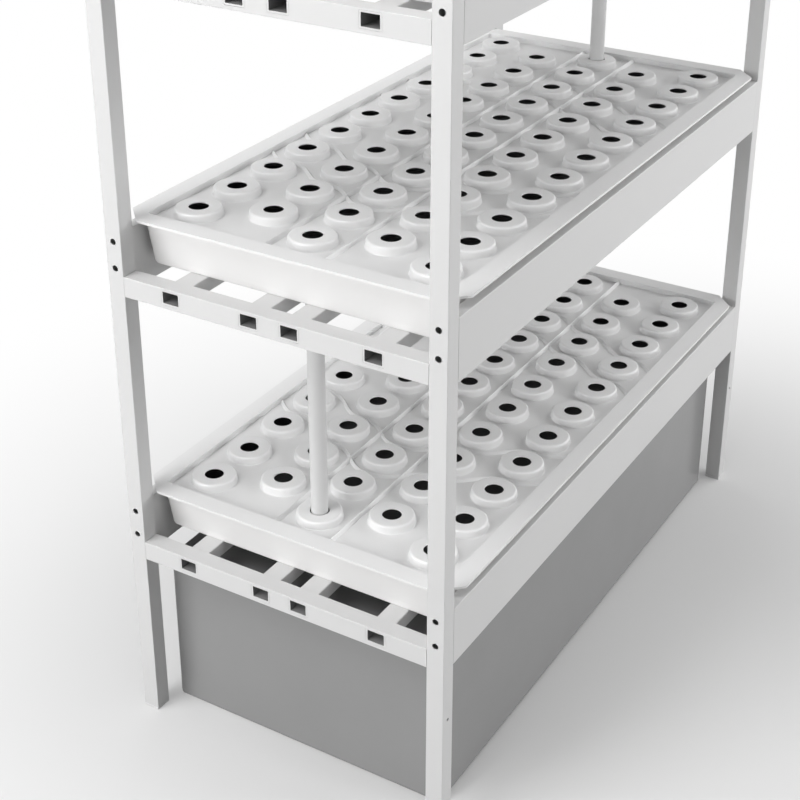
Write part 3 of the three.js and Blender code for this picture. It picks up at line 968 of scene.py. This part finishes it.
def ridge(mesh, path, steps, size, plate):
    """Adds a low ridge along a path, which gives a point for each share from -1 to 1."""
    width, height = size
    points = bmesh.ops.create_grid(mesh, x_segments=RIB_STEPS, y_segments=steps, size=1)["verts"]
    for point in points:
        across, share = point.co.x, point.co.y
        middle = Vector(path(share))
        ahead = Vector(path(share + LOOK_AHEAD)) - Vector(path(share - LOOK_AHEAD))
        sideways = Vector((ahead.y, -ahead.x)).normalized()
        place = middle + sideways * across * width / 2
        rise = height * math.cos(across * math.pi / 2) ** RIB_ROUNDNESS
        point.co = (place.x, place.y, plate + rise - RIB_SINK)


def long_path(y):
    """A straight path from end to end of the plate."""
    return lambda share: (share * (RECESS[0] - MM), y)


def cross_path(end_sign, start):
    """A path across the plate that starts on its middle line and moves in half a pitch from row to row."""
    def path(share):
        y = share * (RECESS[1] - MM)
        rows = abs(y) / ROW_PITCH
        swing = rows - math.sin(2 * math.pi * rows) / (2 * math.pi)
        return (end_sign * (start - swing * HOLE_PITCH / 2), y)
    return path


def ribs(tier):
    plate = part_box(f"planting_cover_{tier}")[1].z - PLATE_DEPTH
    mesh = bmesh.new()
    for y in (-ROW_PITCH / 2, ROW_PITCH / 2):
        ridge(mesh, long_path(y), LONG_STEPS, LONG_RIB, plate)
    for end_sign in ENDS.values():
        for place in CROSS_PLACES:
            ridge(mesh, cross_path(end_sign, place), CROSS_STEPS, CROSS_RIB, plate)
    return make_piece(
        f"cover_ribs_{tier}", mesh, f"{LEVELS[tier]}_cover", [cover_white],
        [f"planting_cover_{tier}"], wall=RIB_SHEET,
    )


for tier in TIERS:
    made = ribs(tier)
    print(made.name, len(made.data.polygons), "faces")

# %% [markdown]
# ## Drop pipes and the feed inlet
#
# Each drop pipe starts as a standpipe in its tray, whose height sets the water's level, passes through
# the floor with a collar on it, and ends in a planting hole of the tier below. It is round all the way, so
# its whole section is drawn and spun. The feed inlet in the top tray has a hose barb below the floor.

# %% Pipes and inlet
def spun(section, centre, sides=32):
    """A round piece from a section of (radius, height) points, which is closed or ends on the axis."""
    mesh = bmesh.new()
    points = [mesh.verts.new((radius, 0, z)) for radius, z in section]
    on_axis = section[0][0] == 0 and section[-1][0] == 0
    following = points[1:] + ([] if on_axis else points[:1])
    line = [mesh.edges.new(pair) for pair in zip(points, following)]
    bmesh.ops.spin(
        mesh, geom=points + line, cent=(0, 0, 0), axis=(0, 0, 1), angle=2 * math.pi, steps=sides,
        use_merge=True,
    )
    bmesh.ops.remove_doubles(mesh, verts=mesh.verts, dist=HAIR)
    bmesh.ops.translate(mesh, vec=centre, verts=mesh.verts)
    return mesh


PIPE_RADIUS = 14 * MM
PIPE_WALL = 2 * MM
EASED = 0.6 * MM
END_EASED = 0.5 * MM
COLLAR = (8 * MM, 3 * MM)
COLLAR_SEAT = 0.3 * MM
INLET_RADIUS = 10 * MM
INLET_INNER = 5.5 * MM
INLET_NECK = 10 * MM
BARB_TIP = 7 * MM
BARB_CORE = 7.5 * MM
BARB_WIDEST = 9 * MM
BARB_STEP = (8.9 * MM, 0.6 * MM)
BARB_PITCH = 10 * MM


def barb_tooth(start, end):
    """The section of one tooth of a hose barb: a slope that widens, and a short step back."""
    step_radius, step_height = BARB_STEP
    return [(BARB_CORE, start), (BARB_WIDEST, end), (step_radius, end + step_height)]


def fitting_place(name, tier):
    """A fitting's middle at its tray's floor, and how far the fitting reaches from there, down and up."""
    low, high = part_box(name)
    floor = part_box(f"tray_{tier}")[0].z + TRAY_WALL
    return Vector(((low.x + high.x) / 2, (low.y + high.y) / 2, floor)), low.z - floor, high.z - floor


def drop_pipe(tier):
    centre, foot, top = fitting_place(f"drop_pipe_{tier}", tier)
    outer = PIPE_RADIUS
    inner = outer - PIPE_WALL
    collar = outer + COLLAR[0]
    ledge = COLLAR_SEAT + COLLAR[1]
    section = [
        (inner, foot + END_EASED),
        (inner + EASED, foot),
        (outer - EASED, foot),
        (outer, foot + END_EASED),
        (outer, COLLAR_SEAT),
        (collar - EASED, COLLAR_SEAT),
        (collar, COLLAR_SEAT + EASED),
        (collar, ledge - EASED),
        (collar - EASED, ledge),
        (outer, ledge),
        (outer, top - END_EASED),
        (outer - EASED, top),
        (inner + EASED, top),
        (inner, top - END_EASED),
    ]
    mesh = spun(section, centre)
    return make_piece(
        f"water_pipe_{tier}", mesh, f"{LEVELS[tier]}_tray", [pipe_white], [f"drop_pipe_{tier}"],
    )


def feed_inlet():
    centre, foot, top = fitting_place("feed_inlet", TIERS[-1])
    outer = INLET_RADIUS
    inner = INLET_INNER
    collar = outer + COLLAR[0]
    ledge = COLLAR_SEAT + COLLAR[1]
    neck = -TRAY_WALL - INLET_NECK
    section = [(inner, foot), (BARB_TIP, foot)]
    for base in (foot, foot + BARB_PITCH):
        section += barb_tooth(base + END_EASED, base + BARB_PITCH / 2)
    section += [
        (BARB_CORE, neck),
        (outer, neck),
        (outer, COLLAR_SEAT),
        (collar - EASED, COLLAR_SEAT),
        (collar, COLLAR_SEAT + EASED),
        (collar, ledge),
        (outer, ledge),
        (outer, top - EASED),
        (outer - EASED, top),
        (inner, top),
    ]
    mesh = spun(section, centre)
    return make_piece("water_inlet", mesh, "upper_tray", [pipe_white], ["feed_inlet"])


for tier in TIERS:
    drop_pipe(tier)
feed_inlet()
print("three drop pipes and the inlet made")

# %% [markdown]
# ## The tank, its lid and the pump
#
# The tank is one more stack, with nearly sharp corners and round edges along its foot. Its lid is a plate
# with a rim that drops inside the tank's wall. It has two holes, one under the lowest drop pipe and one
# above the pump for its hose.

# %% Tank and lid
TANK_HALF_WIDTH = 266 * MM
TANK_CORNER = 6 * MM
TANK_WALL = 4 * MM
TANK_FLOOR = 5 * MM
TANK_FOOT = (2 * MM, 8 * MM)
LID_RIM = 8 * MM
LID_RIM_WALL = 4 * MM
LID_RIM_FIT = 1 * MM
LID_EDGE = 2 * MM
LID_FOOT_EDGE = 0.5 * MM
LID_DRILL = 12 * MM
DRAIN_BORE = 40 * MM
HOSE_BORE = 30 * MM


def upper_edge(mesh, shape, top, radius):
    """The outlines of an upper edge, from its foot up to the top, rounded alike all round."""
    turns = reversed(quarter(radius))
    return [outline(mesh, *inset(shape, inward), top - down) for inward, down in turns]


def tank():
    low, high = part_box("tank")
    shape = (high.x, TANK_HALF_WIDTH, TANK_CORNER)
    mesh = bmesh.new()
    outside = lower_edge(mesh, shape, low.z, TANK_FOOT)
    outside += [
        outline(mesh, *shape, high.z - MM),
        outline(mesh, *inset(shape, MM), high.z),
        outline(mesh, *inset(shape, TANK_WALL - MM), high.z),
    ]
    stack(mesh, outside)
    close(mesh, outside[0])
    inside = [outside[-1], outline(mesh, *inset(shape, TANK_WALL), high.z - MM)]
    inside += reversed(lower_edge(mesh, inset(shape, TANK_WALL), TANK_FLOOR, TANK_FOOT))
    stack(mesh, inside)
    close(mesh, inside[-1])
    return make_piece("water_tank", mesh, "reservoir", [tank_grey], ["tank"])


def lid():
    low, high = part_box("tank_lid")
    plate = low.z + LID_RIM
    shape = (high.x, TANK_HALF_WIDTH, TANK_CORNER)
    rim = TANK_WALL + LID_RIM_FIT
    mesh = bmesh.new()
    rings = [
        outline(mesh, *inset(shape, rim + LID_RIM_WALL), plate),
        outline(mesh, *inset(shape, rim + LID_RIM_WALL), low.z),
        outline(mesh, *inset(shape, rim), low.z),
        outline(mesh, *inset(shape, rim), plate),
        outline(mesh, *inset(shape, LID_FOOT_EDGE), plate),
        outline(mesh, *shape, plate + LID_FOOT_EDGE),
    ]
    rings += upper_edge(mesh, shape, high.z, LID_EDGE)
    stack(mesh, rings)
    close(mesh, rings[0])
    close(mesh, rings[-1])

    drills = bmesh.new()
    for name, bore in (("drop_pipe_1", DRAIN_BORE), ("pump", HOSE_BORE)):
        start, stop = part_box(name)
        centre = (start + stop) / 2
        foot = Vector((centre.x, centre.y, plate - OVERCUT))
        round_tool(drills, bore, foot, foot + Vector((0, 0, LID_DRILL)))
    return make_piece(
        "tank_cover", mesh, "reservoir_lid", [lid_grey_and_shade], ["tank_lid"],
        holes=cutters(drills), edge=0.4 * MM,
    )


made = [tank(), lid()]
print([thing.name for thing in made])

# %% [markdown]
# ## The pump
#
# The pump stands on the tank's floor. It is a rounded case with an inlet grille of four slots, and a spout
# with a hose barb. The case is a short stack. The spout is spun, as a piece of its own whose foot reaches
# into the case.

# %% Pump
CASE_HEIGHT = 60 * MM
CASE_CORNER = 10 * MM
CASE_EDGE = 4 * MM
SLOT_PLACES = (-12 * MM, -4 * MM, 4 * MM, 12 * MM)
SLOT_SIZE = Vector((4, 3, 30)) * MM
SLOT_HEIGHT = 15 * MM
SPOUT_RADIUS = 9 * MM
SPOUT_SINK = 4 * MM
SPOUT_SHOULDER = 10 * MM


def pump():
    low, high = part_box("pump")
    centre = (low + high) / 2
    half = (high - low) / 2
    case_top = low.z + CASE_HEIGHT
    shape = (half.x, half.y, CASE_CORNER)
    case = bmesh.new()
    rings = [outline(case, *inset(shape, MM), low.z), outline(case, *shape, low.z + MM)]
    rings += upper_edge(case, shape, case_top, CASE_EDGE)
    stack(case, rings)
    close(case, rings[0])
    close(case, rings[-1])
    bmesh.ops.translate(case, vec=(centre.x, centre.y, 0), verts=case.verts)

    slots = bmesh.new()
    for place in SLOT_PLACES:
        start = Vector((centre.x + place - SLOT_SIZE.x / 2, low.y - MM, low.z + SLOT_HEIGHT))
        window_tool(slots, start, start + SLOT_SIZE, MM)
    section = [
        (0, case_top - SPOUT_SINK),
        (SPOUT_RADIUS, case_top - SPOUT_SINK),
        (SPOUT_RADIUS, case_top + SPOUT_SHOULDER),
    ]
    for base in (high.z - 2 * BARB_PITCH, high.z - BARB_PITCH):
        section += barb_tooth(base, base + BARB_PITCH / 2)
    section += [(BARB_CORE, high.z - END_EASED), (BARB_TIP, high.z), (0, high.z)]
    spout = spun(section, (centre.x, centre.y, 0), sides=24)
    body = make_piece("pump_case", case, "reservoir", [pump_black], ["pump"], holes=cutters(slots))
    make_piece("pump_spout", spout, "reservoir", [pump_black], ["pump"])
    return body


print("pump case with", len(pump().data.polygons), "faces")

# %% [markdown]
# ## Floor and background
#
# The picture's floor runs out into a white background. More light would do that too, but it would bleach
# the rack. So the floor is an ordinary matt surface near the rack, where it takes the shadows, and turns
# into plain white further out. The matt patch lies a little to the front, where the picture's floor is
# darkest. Light Path keeps the white to the rays that look at the floor, from the camera or by way of a
# reflection, so that it lights nothing. Where light is gathered the floor is a darker grey, because the
# rack's undersides are dark in the picture.

# %% Floor
SHADOW_CENTRE = (-0.03, -0.35, 0)
SHADOW_REACH = 0.3
WHITE_FROM = 1.9
FLOOR_GREY = 0.68
FLOOR_BOUNCE = 0.35
FLOOR_HALF = 9
FLOOR_GAP = 0.5 * MM


def seen(tree):
    """One for a ray from the camera, a gloss or a glass, and zero where light is gathered."""
    rays = tree.nodes.new("ShaderNodeLightPath")
    names = ("Is Camera Ray", "Is Glossy Ray", "Is Transmission Ray")
    camera_ray, glossy_ray, glass_ray = (Value(tree, rays.outputs[name]) for name in names)
    return camera_ray + glossy_ray + glass_ray > 0.5


def studio_floor():
    floor = Finish("studio floor")
    drift = floor.noise(2.0)
    looks = floor.mix(drift, grey(FLOOR_GREY - 0.01), grey(FLOOR_GREY + 0.01))
    floor.set({
        "Base Color": floor.mix(seen(floor.tree), grey(FLOOR_BOUNCE), looks),
        "Roughness": 0.9,
        "Specular IOR Level": 0.0,
    })
    spots = {0: floor.place, 1: SHADOW_CENTRE}
    distance = floor.add("ShaderNodeVectorMath", {"operation": "DISTANCE"}, spots, output="Value")
    reach = {"Value": distance, "From Min": SHADOW_REACH, "From Max": WHITE_FROM}
    far = floor.add("ShaderNodeMapRange", {"interpolation_type": "SMOOTHSTEP"}, reach)
    matt = Value(floor.tree, floor.surface.outputs[0])
    white = floor.add("ShaderNodeEmission")
    both = floor.add("ShaderNodeMixShader", inputs={0: far * seen(floor.tree), 1: matt, 2: white})
    floor.feed(floor.tree.nodes["Material Output"].inputs["Surface"], both)

    mesh = bmesh.new()
    bmesh.ops.create_grid(mesh, x_segments=2, y_segments=2, size=FLOOR_HALF)
    bmesh.ops.translate(mesh, vec=(0, 0, -FLOOR_GAP), verts=mesh.verts)
    made = bpy.data.meshes.new("floor")
    mesh.to_mesh(made)
    mesh.free()
    made.materials.append(floor.material)
    thing = bpy.data.objects.new("floor", made)
    bpy.context.collection.objects.link(thing)
    return thing


print("made", studio_floor().name)

# %% [markdown]
# ## Light
#
# The faces of the posts say how the picture is lit. Those that look left are bright, those that look to
# the right front are a step darker, and those that look into the rack are dark. So large soft lamps stand at
# the left and at the right front, low and high, with one overhead and a weak one behind. The corner towards
# the viewer has only a faint fill. The powers were found by rendering each lamp alone and solving for the
# sum that comes nearest to the picture without clipping the upper cover to white. The world adds almost
# nothing but is white where it is seen.

# %% World and lamps
AMBIENT = 0.04
AIM = Vector((0, 0, 0.9))


def studio_world():
    world = bpy.data.worlds.new("studio")
    world.use_nodes = True
    tree = world.node_tree
    background = tree.nodes["Background"]
    background.inputs["Color"].default_value = grey(1.0)
    level = seen(tree) * (1 - AMBIENT) + AMBIENT
    tree.links.new(level.socket, background.inputs["Strength"])
    bpy.context.scene.world = world


def lamp(name, azimuth, elevation, distance, size, power):
    """A square soft lamp, placed by its angles round the rack and aimed at it."""
    turn = Matrix.Rotation(math.radians(azimuth), 3, "Z") @ Matrix.Rotation(-math.radians(elevation), 3, "Y")
    arm = turn @ Vector((distance, 0, 0))
    data = bpy.data.lights.new(name, "AREA")
    data.shape = "SQUARE"
    data.size = size
    data.energy = power
    thing = bpy.data.objects.new(name, data)
    thing.location = AIM + arm
    thing.rotation_euler = arm.to_track_quat("Z", "Y").to_euler()
    thing.visible_camera = False
    bpy.context.collection.objects.link(thing)
    return thing


studio_world()
# each with its name, azimuth, elevation, distance, size and power in watts
lamps = (
    lamp("high left", 150, 50, 6, 3, 176),
    lamp("low left", 160, 6, 4, 2, 67),
    lamp("left", 180, 15, 6, 3, 70),
    lamp("front fill", 225, 15, 6, 4, 25),
    lamp("right front", 290, 10, 5, 3, 143),
    lamp("right", 330, 30, 6, 3, 110),
    lamp("behind", 45, 30, 6, 3, 20),
    lamp("overhead", 0, 90, 6, 4, 145),
)
for made in lamps:
    print(made.name, "lamp,", made.data.energy, "W")

# %% [markdown]
# ## The end
#
# The last line sets the view transform to Standard. The dressed model has to stay inside the CAD
# model's box.

# %% Finish
bpy.context.scene.view_settings.view_transform = "Standard"
